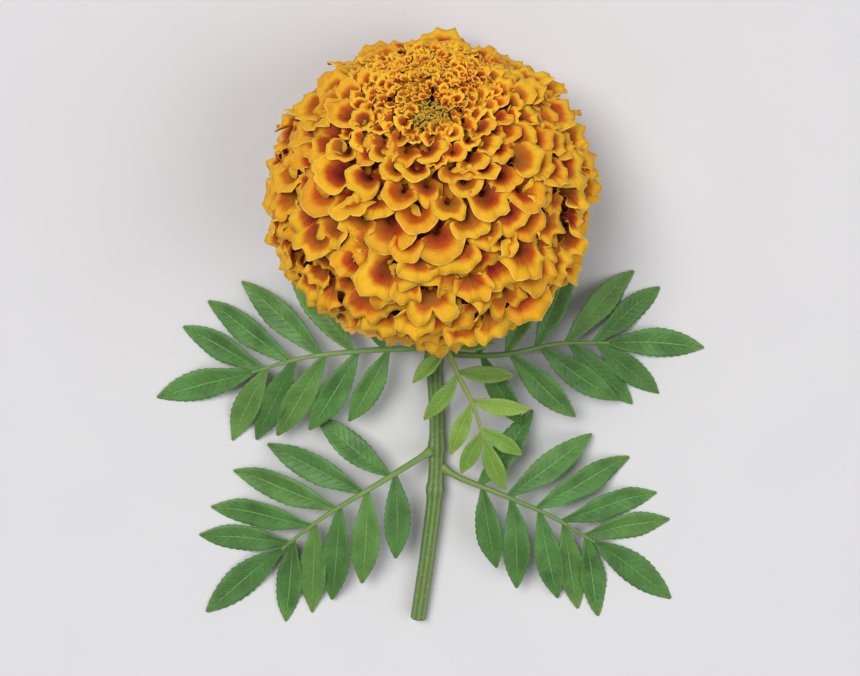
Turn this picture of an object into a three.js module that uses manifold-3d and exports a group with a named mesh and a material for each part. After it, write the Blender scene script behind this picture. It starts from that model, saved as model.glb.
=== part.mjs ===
// A picked African marigold (Tagetes erecta), laid down: one full double bloom in its green cup, on a cut
// stem with its leaves. Millimetres, +Z up from the surface that it lies on, +Y towards the bloom.
// The origin is on that surface, under the middle of the flower's outline.

import * as THREE from "three";
import { mergeVertices } from "three/addons/utils/BufferGeometryUtils.js";
import Module from "manifold-3d";

const wasm = await Module();
wasm.setup();

// Bloom: its outline is a globe, higher above its widest ring than below, with a dip at the crown
const BLOOM_RADIUS = 43.5;
const BLOOM_RISE = 39;
const BLOOM_DROP = 32;
const CROWN_DIP = 4;
const CROWN_DIP_RADIUS = 10;
const CORE_SHARE = 0.72;
const CORE_SIDES = 14;
const EYE_RADIUS = 5;
const EYE_FLOOR = 25.5;
const EYE_BUDS = 16;

// Rays, the petals that cover it: how far apart they stand, and how they flare
const RAY_THICK = 0.8;
const RAY_REACH = 14;
const SMALLEST_RAY = 9;
const WIDEST_RAY = 19;
const GROWN_RAY_ANGLE = 1.25;
const LAST_RAY_ANGLE = 2.4;
const RAY_ROOM = 0.86;
const TUBE_SHARE = 0.13;
const LIP_SHARE = 0.57;
const LIP_SIDES = 0.58;
const LIP_NOTCH = 0.12;
const LIP_RUFFLE = 0.06;
const UNDER_RAYS = 12;

// How the head lies: where the middle of the bloom is, and how far its face looks up
const HEAD_CENTRE = new THREE.Vector3(0, 49, 38);
const HEAD_TILT = THREE.MathUtils.degToRad(40);

// Green cup under the bloom, with heights from the middle of the bloom
const CUP_BASE = -40;
const CUP_RIM = -20;
const CUP_SWELL = 4.4;
const CUP_TOOTH = 3.2;
const CUP_TEETH = 8;
const CUP_RIB = 0.035;
const CUP_WALL = 1.3;
const CUP_FLOOR = 2.5;

// Stem, with a swelling wherever leaves stand
const STEM_TOP_RADIUS = 4;
const STEM_RADIUS = 2.4;
const STEM_NODE = 0.5;
const STEM_NODES_AT = [0.26, 0.5, 0.62];
const STEM_SIDES = 10;
const STEM_STEPS = 24;
const STEM_RIB = 0.03;

// Leaves
const LEAF_THICK = 0.7;
const LEAF_FOLD = 0.22;
const LEAF_STEPS = 5;
const TOOTH_SHARE = 0.86;
const RIB_RADIUS = 1.1;

const GAP = 0.3;
const GRID = 0.002;
const GOLDEN_ANGLE = Math.PI * (3 - Math.sqrt(5));
const UP = new THREE.Vector3(0, 0, 1);

// A repeatable draw from 0 to 1 for item i and purpose k.
function draw(i, k) {
  const s = Math.sin(i * 12.9898 + k * 78.233) * 43758.5453;
  return s - Math.floor(s);
}

// The head's own frame: its origin in the middle of the bloom, its z along the bloom's axis, out of its face.
const headAxis = new THREE.Vector3(0, Math.cos(HEAD_TILT), Math.sin(HEAD_TILT));
const headSide = new THREE.Vector3(1, 0, 0);
const headFrame = new THREE.Matrix4()
  .makeBasis(headSide, new THREE.Vector3().crossVectors(headAxis, headSide), headAxis)
  .setPosition(HEAD_CENTRE);

function inHead(geometry) {
  return geometry.applyMatrix4(headFrame);
}

// A turned body about z from pairs of radius and height, listed from the bottom up.
function turned(profile, sides) {
  const points = profile.map(([r, z]) => new THREE.Vector2(r, z));
  return new THREE.LatheGeometry(points, sides).rotateX(Math.PI / 2);
}

// A closed geometry as a solid, and back.
function toSolid(geometry) {
  const bare = geometry.index ? geometry.toNonIndexed() : geometry.clone();
  for (const name of Object.keys(bare.attributes)) {
    if (name !== "position") bare.deleteAttribute(name);
  }
  const merged = mergeVertices(bare, 1e-4);
  const vertProperties = merged.attributes.position.array;
  const triVerts = new Uint32Array(merged.index.array);
  return new wasm.Manifold(new wasm.Mesh({ numProp: 3, vertProperties, triVerts }));
}

function toGeometry(solid) {
  const mesh = solid.getMesh();
  const geometry = new THREE.BufferGeometry();
  geometry.setAttribute("position", new THREE.BufferAttribute(mesh.vertProperties, 3));
  geometry.setIndex(new THREE.BufferAttribute(mesh.triVerts, 1));
  return geometry;
}

// A geometry with its points on a fine grid, without the faces that lose a corner or fold shut by that.
function snapped(geometry) {
  const onGrid = geometry.clone();
  const { array } = onGrid.attributes.position;
  array.forEach((value, i) => {
    array[i] = Math.round(value / GRID) * GRID;
  });
  const merged = mergeVertices(onGrid, GRID / 10);
  const faces = new Map();
  for (let i = 0; i < merged.index.count; i += 3) {
    const corners = Array.from(merged.index.array.slice(i, i + 3));
    const key = [...corners].sort((a, b) => a - b).join();
    if (new Set(corners).size < 3) continue;
    if (faces.has(key)) faces.delete(key);
    else faces.set(key, corners);
  }
  merged.setIndex([...faces.values()].flat());
  merged.computeVertexNormals();
  return merged;
}

function joined(solids) {
  let row = solids;
  while (row.length > 1) {
    const next = [];
    for (let i = 0; i < row.length; i += 2) {
      next.push(row[i + 1] ? row[i].add(row[i + 1]) : row[i]);
    }
    row = next;
  }
  return row[0];
}

// The largest body of a solid, without loose scraps and with its sealed hollows filled.
function mainBody(solid) {
  return solid.decompose().reduce((a, b) => (b.volume() > a.volume() ? b : a));
}

// A closed body through rings of points with the same count, with a flat fan at each end.
function loft(rings) {
  const sides = rings[0].length;
  const middle = (ring) => ring.reduce((sum, p) => sum.add(p), new THREE.Vector3()).divideScalar(sides);
  const points = [...rings.flat(), middle(rings[0]), middle(rings.at(-1))];
  const first = rings.length * sides;
  const faces = [];
  for (let j = 0; j < sides; j++) {
    const k = (j + 1) % sides;
    faces.push(first, k, j, first + 1, first - sides + j, first - sides + k);
    for (let i = 0; i + 1 < rings.length; i++) {
      const low = i * sides;
      const high = low + sides;
      faces.push(low + j, low + k, high + k, low + j, high + k, high + j);
    }
  }
  return new THREE.BufferGeometry().setFromPoints(points).setIndex(faces);
}

// A thin closed sheet of even thickness about the surface at(u, v), with its faces split alike on both sides.
function sheet(at, along, across, thick) {
  const step = 1e-3;
  const front = [];
  const back = [];
  for (let i = 0; i <= along; i++) {
    for (let j = 0; j <= across; j++) {
      const u = i / along;
      const v = j / across;
      const du = at(u + step, v).sub(at(u - step, v));
      const dv = at(u, v + step).sub(at(u, v - step));
      const half = du.cross(dv).setLength(thick / 2);
      const p = at(u, v);
      front.push(p.clone().add(half));
      back.push(p.clone().sub(half));
    }
  }
  const wide = across + 1;
  const total = front.length;
  const faces = [];
  for (let i = 0; i < along; i++) {
    for (let j = 0; j < across; j++) {
      const a = i * wide + j;
      const [b, c, d] = [a + wide, a + wide + 1, a + 1];
      faces.push(a, b, c, a, c, d);
      faces.push(total + a, total + c, total + b, total + a, total + d, total + c);
    }
  }
  const edge = [];
  for (let j = 0; j < across; j++) edge.push(j);
  for (let i = 0; i < along; i++) edge.push(i * wide + across);
  for (let j = across; j > 0; j--) edge.push(along * wide + j);
  for (let i = along; i > 0; i--) edge.push(i * wide);
  edge.forEach((a, n) => {
    const b = edge[(n + 1) % edge.length];
    faces.push(a, b, total + b, a, total + b, total + a);
  });
  return new THREE.BufferGeometry().setFromPoints([...front, ...back]).setIndex(faces);
}

// The half space under the surface that the flower lies on.
const underTable = toSolid(new THREE.BoxGeometry(400, 400, 40).translate(0, 0, -20));

// Keeps a height above the least one, easing down onto it instead of passing through.
function eased(z, least, softness = 1.2) {
  return least + softness * Math.log1p(Math.exp((z - least) / softness));
}

// A place on the bloom's outline in the head's frame, at an angle from its crown and a turn round its axis.
function onBloom(angle, turn) {
  const rise = angle < Math.PI / 2 ? BLOOM_RISE : BLOOM_DROP;
  const across = BLOOM_RADIUS * Math.sin(angle);
  const dip = CROWN_DIP * Math.exp(-((across / CROWN_DIP_RADIUS) ** 2));
  const radial = new THREE.Vector3(Math.cos(turn), Math.sin(turn), 0);
  const point = radial.clone().multiplyScalar(across).setZ(rise * Math.cos(angle) - dip);
  const out = radial.clone().multiplyScalar(Math.sin(angle) / BLOOM_RADIUS);
  out.setZ(Math.cos(angle) / rise).normalize();
  const side = new THREE.Vector3(-Math.sin(turn), Math.cos(turn), 0);
  return { point, out, side, down: new THREE.Vector3().crossVectors(side, out) };
}

// How far apart the rays stand at an angle from the crown: small at the crown, widest at the flanks.
function raySize(angle) {
  const grown = Math.min(1, angle / GROWN_RAY_ANGLE);
  return SMALLEST_RAY + (WIDEST_RAY - SMALLEST_RAY) * grown ** 0.8;
}

// The rays' places: a golden-angle spiral from the eye down, each ray with room for its own size.
function rayPlaces() {
  const places = [];
  let angle = (EYE_RADIUS + 1.5) / BLOOM_RADIUS;
  for (let i = 0; angle < LAST_RAY_ANGLE; i++) {
    const size = raySize(angle);
    places.push({ i, angle, turn: i * GOLDEN_ANGLE, size });
    const slope = Math.hypot(BLOOM_RADIUS * Math.cos(angle), BLOOM_RISE * Math.sin(angle));
    angle += (RAY_ROOM * size * size) / (2 * Math.PI * BLOOM_RADIUS * Math.sin(angle) * slope);
  }
  return places;
}

// One ray: a funnel open towards the crown, whose notched lip flares out and hangs away from the crown.
function ray({ i, angle, turn, size }) {
  const { point, out, side, down } = onBloom(angle, turn);
  const spread = 1.6 + 0.45 * draw(i, 1);
  const lean = 0.35 * (draw(i, 2) - 0.5);
  const lip = size * (LIP_SHARE + 0.1 * draw(i, 3));
  const reach = RAY_REACH + 3 * (draw(i, 4) - 0.5);
  const across = side.clone().applyAxisAngle(out, lean);
  const hang = down.clone().applyAxisAngle(out, lean);
  return (u, v) => {
    const theta = (2 * v - 1) * spread;
    const flare = u * u;
    const back = 0.5 + 0.5 * Math.cos(theta);
    const notch = LIP_NOTCH * Math.exp(-((theta / 0.4) ** 2));
    const lipShape = LIP_SIDES + (1 - LIP_SIDES) * back - notch;
    const radius = TUBE_SHARE * size * (1 - flare) + lip * flare * lipShape;
    const rising = reach * Math.sin((Math.PI / 2) * Math.min(1.05, 1.15 * u)) - reach;
    const wave = LIP_RUFFLE * Math.cos(2 * Math.PI * (2 * v + draw(i, 5)));
    const height = 0.5 + rising + size * flare * (wave - 0.05 - 0.06 * back);
    return point
      .clone()
      .addScaledVector(out, height)
      .addScaledVector(hang, radius * Math.cos(theta))
      .addScaledVector(across, radius * Math.sin(theta));
  };
}

// One of the outermost rays, seen from below: a strap from the cup's rim out along the bloom's underside.
function underRay(i) {
  const turn = (2 * Math.PI * (i + 0.3 * draw(i, 6))) / UNDER_RAYS;
  const radial = new THREE.Vector3(Math.cos(turn), Math.sin(turn), 0);
  const side = new THREE.Vector3(-Math.sin(turn), Math.cos(turn), 0);
  const rootRadius = 9;
  const rootHeight = CUP_RIM + 4.8;
  const length = 19 + 4 * draw(i, 7);
  return (u, v) => {
    const halfWidth = 3 + 5 * Math.sin((Math.PI / 2) * u) - 1.2 * u * u;
    const theta = 2 * v - 1;
    return radial
      .clone()
      .multiplyScalar(rootRadius + length * u)
      .addScaledVector(side, theta * halfWidth)
      .setZ(rootHeight - 8 * u - 1.5 * u * u + 1.6 * theta * theta * u);
  };
}

// The bloom's core, which the rays stand out of, with the plug that sits in the green cup.
function bloomCore() {
  const plug = (share) => cupOutline(share).x - CUP_WALL - GAP;
  const flank = [2.45, 2.05, 1.65, 1.25, 0.85, 0.45].map((angle) => {
    const { x, z } = onBloom(angle, 0).point.multiplyScalar(CORE_SHARE);
    return [x, z];
  });
  const foot = CUP_BASE + CUP_FLOOR + GAP;
  const eyeSeat = EYE_FLOOR - 2.3;
  const profile = [
    [0, foot],
    [STEM_TOP_RADIUS, foot],
    [plug(0.5), (CUP_BASE + CUP_RIM) / 2],
    [plug(1), CUP_RIM],
    [plug(1), CUP_RIM + CUP_TOOTH + 1],
    ...flank,
    [EYE_RADIUS + 0.5, eyeSeat],
    [0, eyeSeat],
  ];
  return turned(profile, CORE_SIDES);
}

// A knot of unopened buds at the crown: a low cushion with short pegs that lean outwards.
function eye() {
  const cushion = new THREE.CylinderGeometry(EYE_RADIUS, EYE_RADIUS - 0.4, 4, 12);
  const pegs = [cushion.rotateX(Math.PI / 2).translate(0, 0, EYE_FLOOR)];
  for (let i = 0; i < EYE_BUDS; i++) {
    const out = (EYE_RADIUS - 0.9) * Math.sqrt((i + 0.5) / EYE_BUDS);
    const turn = i * GOLDEN_ANGLE;
    const lean = 0.05 * out;
    const peg = new THREE.CylinderGeometry(0.62, 0.85, 6, 5).rotateX(Math.PI / 2).translate(0, 0, 3);
    peg.rotateX(-lean * Math.sin(turn)).rotateY(lean * Math.cos(turn));
    pegs.push(peg.translate(out * Math.cos(turn), out * Math.sin(turn), EYE_FLOOR - 0.12 * out));
  }
  return joined(pegs.map(toSolid));
}

// The green cup's outside as radius (x) and height (y), from its base (share 0) to its rim (1).
function cupOutline(share) {
  const swell = Math.sin((Math.PI / 2) * Math.min(1, share * 1.6)) ** 0.7;
  const radius = STEM_TOP_RADIUS + CUP_SWELL * swell + 0.5 * share;
  return new THREE.Vector2(radius, CUP_BASE + (CUP_RIM - CUP_BASE) * share);
}

// The cup, grown by a margin, with a ribbed wall and a toothed rim. Without a margin it is hollow.
function cup(margin) {
  const around = CUP_TEETH * 4;
  const ring = (radius, z, rib, tooth) =>
    Array.from({ length: around }, (_, j) => {
      const turn = (2 * Math.PI * j) / around;
      const phase = Math.cos(CUP_TEETH * turn);
      const r = radius * (1 + rib * phase);
      return new THREE.Vector3(r * Math.cos(turn), r * Math.sin(turn), z + (tooth * (1 + phase)) / 2);
    });
  const rings = [0, 0.08, 0.25, 0.5, 0.75, 1].map((share) => {
    const { x, y } = cupOutline(share);
    const z = share ? y : y - margin;
    return ring(x + margin, z, share ? CUP_RIB : 0, share === 1 ? CUP_TOOTH + margin : 0);
  });
  if (!margin) {
    for (const share of [1, 0.5]) {
      const { x, y } = cupOutline(share);
      rings.push(ring(x - CUP_WALL, y, 0, share === 1 ? CUP_TOOTH : 0));
    }
    rings.push(ring(STEM_TOP_RADIUS + GAP, CUP_BASE + CUP_FLOOR, 0, 0));
  }
  return toSolid(loft(rings));
}

// The stem's middle line, from under the cup to the cut end.
const stemTop = new THREE.Vector3(0, 0, CUP_BASE - GAP).applyMatrix4(headFrame);
const stemLine = new THREE.CatmullRomCurve3([
  stemTop,
  stemTop.clone().addScaledVector(headAxis, -5),
  new THREE.Vector3(0.4, 8, 4.9),
  new THREE.Vector3(1.2, -8, 2.95),
  new THREE.Vector3(2.2, -28, 3.6),
  new THREE.Vector3(1.6, -48, 4.4),
  new THREE.Vector3(-0.6, -68, 3.9),
  new THREE.Vector3(-3.6, -90, 2.55),
]);

function stemRadius(t) {
  const neck = (STEM_TOP_RADIUS - STEM_RADIUS) * Math.exp(-((t / 0.16) ** 2));
  const nodes = STEM_NODES_AT.map((at) => STEM_NODE * Math.exp(-(((t - at) / 0.018) ** 2)));
  return STEM_RADIUS + neck + nodes.reduce((sum, n) => sum + n);
}

// A ribbed stalk along a curve, whose radius is a function of the share of its length.
function stalk(curve, radiusAt, sides, steps, rib = 0) {
  const frames = curve.computeFrenetFrames(steps, false);
  const rings = frames.tangents.map((_, i) => {
    const centre = curve.getPointAt(i / steps);
    return Array.from({ length: sides }, (_, j) => {
      const turn = (2 * Math.PI * j) / sides;
      const r = radiusAt(i / steps) * (1 + (j % 2 ? -rib : rib));
      return centre
        .clone()
        .addScaledVector(frames.normals[i], r * Math.cos(turn))
        .addScaledVector(frames.binormals[i], r * Math.sin(turn));
    });
  });
  return loft(rings);
}

// The leaves: each rib's route from the middle of the stem to the root of its end leaflet, how many pairs of
// leaflets it has, the length and half width of the largest, and how far the blade leans about its rib.
const LEAVES = [
  {
    name: "leaf_upper_left",
    route: [[1.2, -3, 3.2], [-5, -3.5, 6.5], [-18, -3, 11.5], [-36, -5, 11.5], [-53, -11, 6.5]],
    pairs: 5,
    longest: 31,
    half: 4.2,
    lean: 0.1,
  },
  {
    name: "leaf_upper_right",
    route: [[1.2, -5, 3.2], [8, -5.5, 6.5], [22, -4, 12], [37, -1, 11.5], [53, -2, 6]],
    pairs: 5,
    longest: 30,
    half: 4,
    lean: -0.1,
  },
  {
    name: "leaf_lower_left",
    route: [[2.1, -35, 4], [-4, -38, 7.5], [-17, -45, 12], [-32, -55, 10.5], [-45, -67, 5]],
    pairs: 5,
    longest: 33,
    half: 4.3,
    lean: 0.1,
  },
  {
    name: "leaf_lower_right",
    route: [[2.1, -40, 4.1], [8, -43, 7.5], [21, -47, 12.5], [37, -55, 10.5], [50, -65, 4.5]],
    pairs: 5,
    longest: 32,
    half: 4.2,
    lean: -0.1,
  },
  {
    name: "leaf_young",
    route: [[0.5, 6, 4.9], [3, 2, 10], [8, -8, 18], [13, -18, 21], [16, -28, 20]],
    pairs: 4,
    longest: 18,
    half: 2.6,
    lean: 0,
  },
];

// Half the width of a leaflet at a share of its length: narrow at its foot, widest past its middle.
function leafletWidth(share, half) {
  const grown = 0.035 + 0.95 * Math.min(1, Math.max(0, share)) ** 1.15;
  return half * Math.sin(Math.PI * grown) ** 0.9;
}

// One leaflet as a function of its length (u) and width (v): folded along its rib, toothed and drooping.
function leaflet({ root, along, up, length, half, droop }) {
  const across = new THREE.Vector3().crossVectors(up, along).normalize();
  return (u, v) => {
    const tooth = Math.round(u * LEAF_STEPS) % 2 ? TOOTH_SHARE : 1;
    const side = 2 * v - 1;
    const width = leafletWidth(u, half) * tooth;
    const p = root
      .clone()
      .addScaledVector(along, length * u)
      .addScaledVector(across, side * width)
      .addScaledVector(up, LEAF_FOLD * Math.abs(side) * width);
    p.z = eased(p.z - droop * length * u * u, LEAF_THICK / 2 + 0.1);
    return p;
  };
}

// A leaf: pairs of leaflets along its rib, which grow and then shrink towards the end leaflet.
function leaf({ route, pairs, longest, half, lean }) {
  const line = new THREE.CatmullRomCurve3(route.map((p) => new THREE.Vector3(...p)));
  const bodies = [toSolid(stalk(line, (t) => RIB_RADIUS * (1 - 0.4 * t), 6, 8))];
  const place = (at, side, turn, length, halfWidth, droop) => {
    const tangent = line.getTangentAt(at);
    const up = UP.clone().addScaledVector(tangent, -UP.dot(tangent)).normalize();
    up.applyAxisAngle(tangent, lean);
    const sideways = new THREE.Vector3().crossVectors(tangent, up).multiplyScalar(side);
    const along = tangent.clone().multiplyScalar(Math.cos(turn)).addScaledVector(sideways, Math.sin(turn));
    const shape = leaflet({ root: line.getPointAt(at), along, up, length, half: halfWidth, droop });
    bodies.push(toSolid(sheet(shape, LEAF_STEPS, 2, LEAF_THICK)));
  };
  for (let pair = 0; pair < pairs; pair++) {
    const share = pair / (pairs - 1);
    const size = 0.62 + 0.38 * Math.sin(Math.PI * (0.2 + 0.55 * share));
    for (const side of [-1, 1]) {
      const at = 0.27 + 0.65 * share + 0.012 * side;
      place(at, side, 1.12 - 0.42 * share, longest * size, half * (0.7 + 0.3 * size), 0.28);
    }
  }
  place(0.985, 1, 0, longest * 1.05, half * 1.1, 0.2);
  return joined(bodies);
}

// The whole bloom, clear of the cup and of the knot of buds, and flat where it lies on the table.
function bloom() {
  const shapes = rayPlaces().map((place) => sheet(ray(place), 2, 4, RAY_THICK));
  for (let i = 0; i < UNDER_RAYS; i++) shapes.push(sheet(underRay(i), 2, 2, RAY_THICK));
  const eyeRoom = new THREE.CylinderGeometry(EYE_RADIUS + 1, EYE_RADIUS + 0.5, 20, 12);
  eyeRoom.rotateX(Math.PI / 2).translate(0, 0, EYE_FLOOR + 8);
  const rays = joined(shapes.map(toSolid)).subtract(cup(GAP)).subtract(toSolid(eyeRoom));
  const head = mainBody(rays.add(toSolid(bloomCore())));
  return mainBody(toSolid(inHead(toGeometry(head))).subtract(underTable));
}

// Builds the named pieces.
const flower = new THREE.Group();

function addPiece(name, solid, colour, roughness) {
  const material = new THREE.MeshStandardMaterial({ color: colour, roughness, metalness: 0 });
  const mesh = new THREE.Mesh(snapped(toGeometry(solid)), material);
  mesh.name = name;
  flower.add(mesh);
}

const stem = toSolid(stalk(stemLine, stemRadius, STEM_SIDES, STEM_STEPS, STEM_RIB));
const stemRoom = toSolid(stalk(stemLine, (t) => stemRadius(t) + GAP, STEM_SIDES, STEM_STEPS, STEM_RIB));

addPiece("bloom", bloom(), 0xf09a12, 0.6);
addPiece("crown_buds", toSolid(inHead(toGeometry(eye()))), 0x8a7a2a, 0.7);
addPiece("green_cup", toSolid(inHead(toGeometry(cup(0)))), 0x6a9a48, 0.55);
addPiece("stem", stem, 0x6d9c48, 0.5);
for (const shape of LEAVES) {
  const colour = shape.name === "leaf_young" ? 0x6fa83f : 0x3f7a3c;
  addPiece(shape.name, mainBody(leaf(shape).subtract(stemRoom)), colour, 0.5);
}

export default flower;
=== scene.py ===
"""Dresses the solids of a picked marigold: its rays, buds, green cup, stem and leaves, on a pale floor.

Every shape is a surface worked out in millimetres as whole arrays, from the same sizes and places as the
solids, and is made smaller by MM as it goes into its mesh.
"""

import math
from collections import namedtuple

import bpy
import numpy as np
from mathutils import Matrix, Vector


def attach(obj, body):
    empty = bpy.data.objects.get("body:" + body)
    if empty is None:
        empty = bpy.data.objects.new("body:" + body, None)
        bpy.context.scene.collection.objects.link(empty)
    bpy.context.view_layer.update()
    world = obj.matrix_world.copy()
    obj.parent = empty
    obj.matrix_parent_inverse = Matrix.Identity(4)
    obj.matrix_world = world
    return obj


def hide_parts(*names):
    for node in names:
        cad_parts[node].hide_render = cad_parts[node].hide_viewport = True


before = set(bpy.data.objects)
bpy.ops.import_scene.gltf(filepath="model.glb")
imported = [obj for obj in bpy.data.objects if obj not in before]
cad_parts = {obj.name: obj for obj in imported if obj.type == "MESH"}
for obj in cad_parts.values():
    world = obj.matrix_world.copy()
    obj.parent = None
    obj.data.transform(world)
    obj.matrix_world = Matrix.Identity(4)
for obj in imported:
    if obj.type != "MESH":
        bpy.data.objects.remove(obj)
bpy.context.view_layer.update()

bl_info = {
    "name": "Picked Marigold",
    "version": (1, 0, 0),
    "blender": (4, 5, 0),
    "location": "View3D > Sidebar > Marigold",
    "description": "Makes a full orange marigold with its green cup, stem and leaves, on a pale floor",
    "category": "Add Mesh",
}

MM = 0.001
GOLDEN_ANGLE = math.pi * (3 - math.sqrt(5))
UP = np.array([0.0, 0.0, 1.0])

# The bloom's outline and place, as in the solids
BLOOM_RADIUS = 43.5
BLOOM_RISE = 39.0
BLOOM_DROP = 32.0
CROWN_DIP = 4.0
CROWN_DIP_RADIUS = 10.0
EYE_FLOOR = 25.5
HEAD_CENTRE = np.array([0.0, 49.0, 38.0])
HEAD_TILT = math.radians(40)

# The green cup, as in the solids
CUP_BASE = -40.0
CUP_RIM = -20.0
CUP_SWELL = 4.4
CUP_TOOTH = 3.2
CUP_TEETH = 8
CUP_WALL = 1.0

# The stem, as in the solids
STEM_TOP_RADIUS = 4.0
STEM_RADIUS = 2.4
STEM_NODE = 0.5
STEM_NODES_AT = (0.26, 0.5, 0.62)
STEM_RIBS, STEM_SIDES = 8, 48
STEM_ROUTE = (
    (0.4, 8, 4.9),
    (1.2, -8, 2.95),
    (2.2, -28, 3.6),
    (1.6, -48, 4.4),
    (-0.6, -68, 3.9),
    (-3.6, -90, 2.55),
)
GAP = 0.3

# The leaves, as in the solids: the rib's route, the pairs of leaflets, the longest one's length and half
# width, and how far the whole leaf leans to a side, in radians
Leaf = namedtuple("Leaf", "name route pairs longest half lean")
LEAVES = (
    Leaf(
        name="leaf_upper_left",
        route=((1.2, -3, 3.2), (-5, -3.5, 6.5), (-18, -3, 11.5), (-36, -5, 11.5), (-53, -11, 6.5)),
        pairs=5, longest=31.0, half=4.2, lean=0.1,
    ),
    Leaf(
        name="leaf_upper_right",
        route=((1.2, -5, 3.2), (8, -5.5, 6.5), (22, -4, 12), (37, -1, 11.5), (53, -2, 6)),
        pairs=5, longest=30.0, half=4.0, lean=-0.1,
    ),
    Leaf(
        name="leaf_lower_left",
        route=((2.1, -35, 4), (-4, -38, 7.5), (-17, -45, 12), (-32, -55, 10.5), (-45, -67, 5)),
        pairs=5, longest=33.0, half=4.3, lean=0.1,
    ),
    Leaf(
        name="leaf_lower_right",
        route=((2.1, -40, 4.1), (8, -43, 7.5), (21, -47, 12.5), (37, -55, 10.5), (50, -65, 4.5)),
        pairs=5, longest=32.0, half=4.2, lean=-0.1,
    ),
    Leaf(
        name="leaf_young",
        route=((0.5, 6, 4.9), (3, 2, 10), (8, -8, 18), (13, -18, 21), (16, -28, 20)),
        pairs=4, longest=18.0, half=2.6, lean=0.0,
    ),
)
RIB_RADIUS = 1.1
LEAF_FOLD = 0.22
LEAF_TEETH = 13
BLADE_THICKNESS = 0.35


# Numbers and directions


def draw(item, purpose):
    """A repeatable draw from 0 to 1: what follows the decimal point of a large sine of the two numbers.

    item is the number of a ray, bud or leaflet, and purpose is any number that keeps its uses apart.
    """
    s = np.sin(np.asarray(item, float) * 12.9898 + purpose * 78.233) * 43758.5453
    return s - np.floor(s)


def unit(v):
    """v divided by its own length."""
    return v / np.linalg.norm(v, axis=-1, keepdims=True)


def spokes(turn):
    """Directions (cos, sin, 0) outwards and (-sin, cos, 0) sideways at a turn about the bloom's axis."""
    cos, sin, level = np.cos(turn), np.sin(turn), np.zeros_like(turn)
    return np.stack([cos, sin, level], axis=-1), np.stack([-sin, cos, level], axis=-1)


def eased(z, least, softness):
    """least + softness * ln(1 + e^((z - least) / softness)): heights that ease down onto the least."""
    return least + softness * np.logaddexp(0.0, (z - least) / softness)


def rotated(v, axis, angle):
    """v turned about a unit axis at right angles to it: v * cos(angle) + (axis x v) * sin(angle)."""
    return v * np.cos(angle) + np.cross(axis, v) * np.sin(angle)


HEAD_AXIS = np.array([0.0, math.cos(HEAD_TILT), math.sin(HEAD_TILT)])
HEAD_SIDE = np.array([1.0, 0.0, 0.0])
HEAD_TURN = np.array([HEAD_SIDE, np.cross(HEAD_AXIS, HEAD_SIDE), HEAD_AXIS])


def from_head(points):
    """Points of the head's own frame, whose z is the bloom's axis, in the frame of the whole flower."""
    return points @ HEAD_TURN + HEAD_CENTRE


def on_table(points, least=0.4, softness=1.6):
    """The same points, with heights eased down onto the floor, so what would pass through lies on it."""
    out = points.copy()
    out[..., 2] = eased(points[..., 2], least, softness)
    return out


def smooth_route(points, count):
    """count points evenly spaced by length on a centripetal Catmull-Rom curve through the given points.

    Between points 1 and 2 the curve is the cubic whose end slopes are
    (p1 - p0) / a - (p2 - p0) / (a + b) + (p2 - p1) / b, and the like at p2, times b, where a, b and c are
    the square roots of the distances between neighbours. The end points are mirrored past the ends.
    """
    p = np.asarray(points, float)
    p = np.vstack([2 * p[0] - p[1], p, 2 * p[-1] - p[-2]])
    t = np.linspace(0, 1, 60, endpoint=False)[:, None]
    pieces = []
    for p0, p1, p2, p3 in zip(p[:-3], p[1:-2], p[2:-1], p[3:]):
        a, b, c = (np.sqrt(np.linalg.norm(d)) for d in (p1 - p0, p2 - p1, p3 - p2))
        m1 = ((p1 - p0) / a - (p2 - p0) / (a + b) + (p2 - p1) / b) * b
        m2 = ((p2 - p1) / b - (p3 - p1) / (b + c) + (p3 - p2) / c) * b
        cubic = p1 + m1 * t + (3 * (p2 - p1) - 2 * m1 - m2) * t**2 + (2 * (p1 - p2) + m1 + m2) * t**3
        pieces.append(cubic)
    dense = np.vstack(pieces + [p[-2:-1]])
    length = np.concatenate([[0], np.cumsum(np.linalg.norm(np.diff(dense, axis=0), axis=1))])
    even = np.linspace(0, length[-1], count)
    return np.stack([np.interp(even, length, dense[:, k]) for k in range(3)], axis=1)


def along_route(points, count, shares):
    """Places and directions at shares of a smooth route's length, read off count even points on it."""
    line = smooth_route(points, count)
    slope = unit(np.gradient(line, axis=0))
    grid = np.linspace(0, 1, count)
    place = np.stack([np.interp(shares, grid, line[:, k]) for k in range(3)], axis=1)
    towards = np.stack([np.interp(shares, grid, slope[:, k]) for k in range(3)], axis=1)
    return place, unit(towards)


def stalk_rings(line, radius, sides, rib, ribs):
    """Rings at right angles to a line, as far from it as radius * (1 - rib + rib * cos(ribs * turn))."""
    towards = unit(np.gradient(line, axis=0))
    side = unit(np.cross(towards, UP))
    top = np.cross(side, towards)
    turn = np.linspace(0, 2 * np.pi, sides, endpoint=False)[None, :, None]
    ribbed = radius[:, None, None] * (1 - rib + rib * np.cos(ribs * turn))
    return line[:, None] + ribbed * (side[:, None] * np.cos(turn) - top[:, None] * np.sin(turn))


# Meshes


def fours(*corners):
    """Faces whose four corners are the matching entries of four arrays of point numbers."""
    return np.stack(np.broadcast_arrays(*corners), axis=-1).reshape(-1, 4)


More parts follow.
